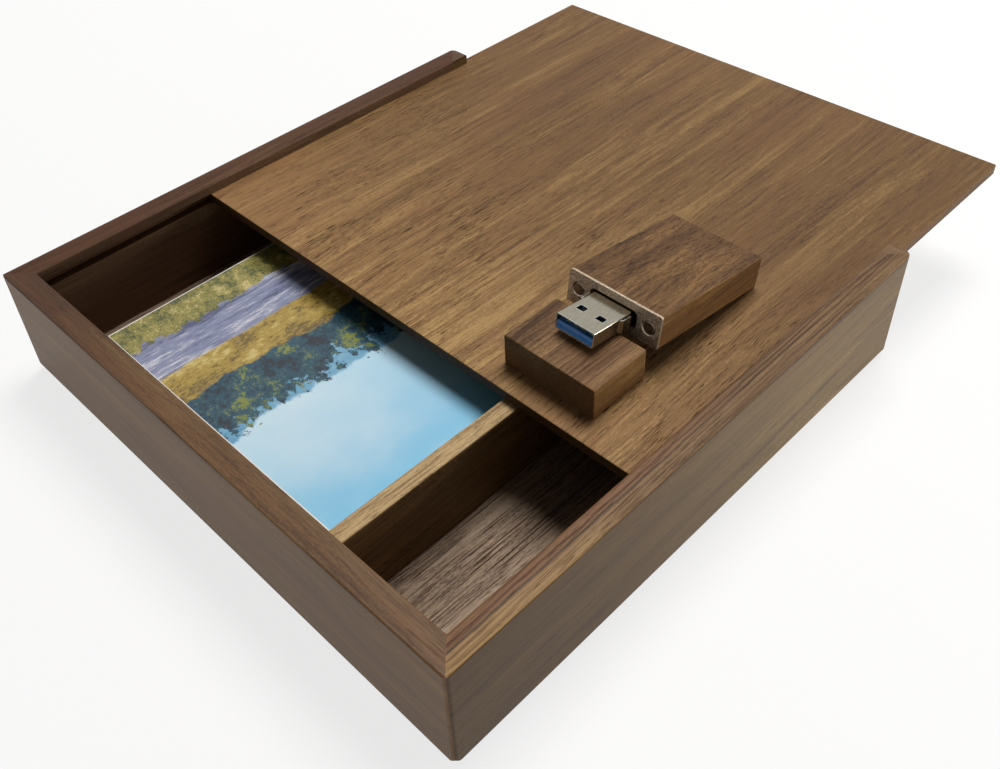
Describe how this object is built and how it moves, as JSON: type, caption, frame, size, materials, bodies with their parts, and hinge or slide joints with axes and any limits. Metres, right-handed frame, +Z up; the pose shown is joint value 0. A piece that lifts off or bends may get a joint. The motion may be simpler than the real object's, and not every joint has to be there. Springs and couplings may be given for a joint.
{
  "type": "photo storage box",
  "caption": "Shallow walnut box with a sliding lid, a compartment of photo prints, a compartment for a flash drive, and the wooden drive with its cap lying on the lid.",
  "frame": {"origin": "middle of the box's underside, with the box frame's plan centred on it", "axes": "+Z up, +Y along the lid's slide towards the rear, where the lid comes out, +X from the prints' side to the drive's side"},
  "size_m": [0.18, 0.235, 0.0487],
  "materials": {
    "frame_walnut": "oiled walnut, satin",
    "floor_walnut": "sanded walnut veneer, matte",
    "divider_walnut": "sanded pale walnut, matte",
    "lid_walnut": "oiled walnut, satin",
    "drive_walnut": "oiled walnut, satin",
    "print_paper": "cut edges of photo paper",
    "print_picture": "glossy photo print",
    "face_plate": "matte grey",
    "magnet": "dull nickel",
    "plug_steel": "satin nickel plate",
    "blue_tongue": "moulded blue",
    "contact_gold": "gold plate",
    "board_green": "solder mask",
    "chip_black": "moulded black"
  },
  "bodies": {
    "box": {"near_wall": "frame_walnut", "rear_wall": "frame_walnut", "left_wall": "frame_walnut", "right_wall": "frame_walnut", "floor_board": "floor_walnut", "divider": "divider_walnut"},
    "prints": {"print_stack": "print_paper", "top_print": "print_picture"},
    "lid": {"lid": "lid_walnut"},
    "drive": {"drive_body": "drive_walnut", "drive_face_plate": "face_plate", "drive_magnets": "magnet", "plug_shell": "plug_steel", "plug_tongue": "blue_tongue", "plug_contacts": "contact_gold", "circuit_board": "board_green", "controller_chip": "chip_black", "memory_chip": "chip_black"},
    "drive_cap": {"cap_body": "drive_walnut", "cap_magnets": "magnet"}
  },
  "joints": [
    {"name": "lid_slide", "type": "slide", "parent": "box", "child": "lid", "axis": [0, 1, 0], "range_m": [-0.06, 0.11]},
    {"name": "prints_lift", "type": "slide", "parent": "box", "child": "prints", "axis": [0, 0, 1], "range_m": [0, 0.006]},
    {"name": "drive_lift", "type": "slide", "parent": "lid", "child": "drive", "axis": [0, 0, 1], "range_m": [0, 0.06]},
    {"name": "cap_slide", "type": "slide", "parent": "lid", "child": "drive_cap", "axis": [-1, 0, 0], "range_m": [0, 0.06]}
  ]
}
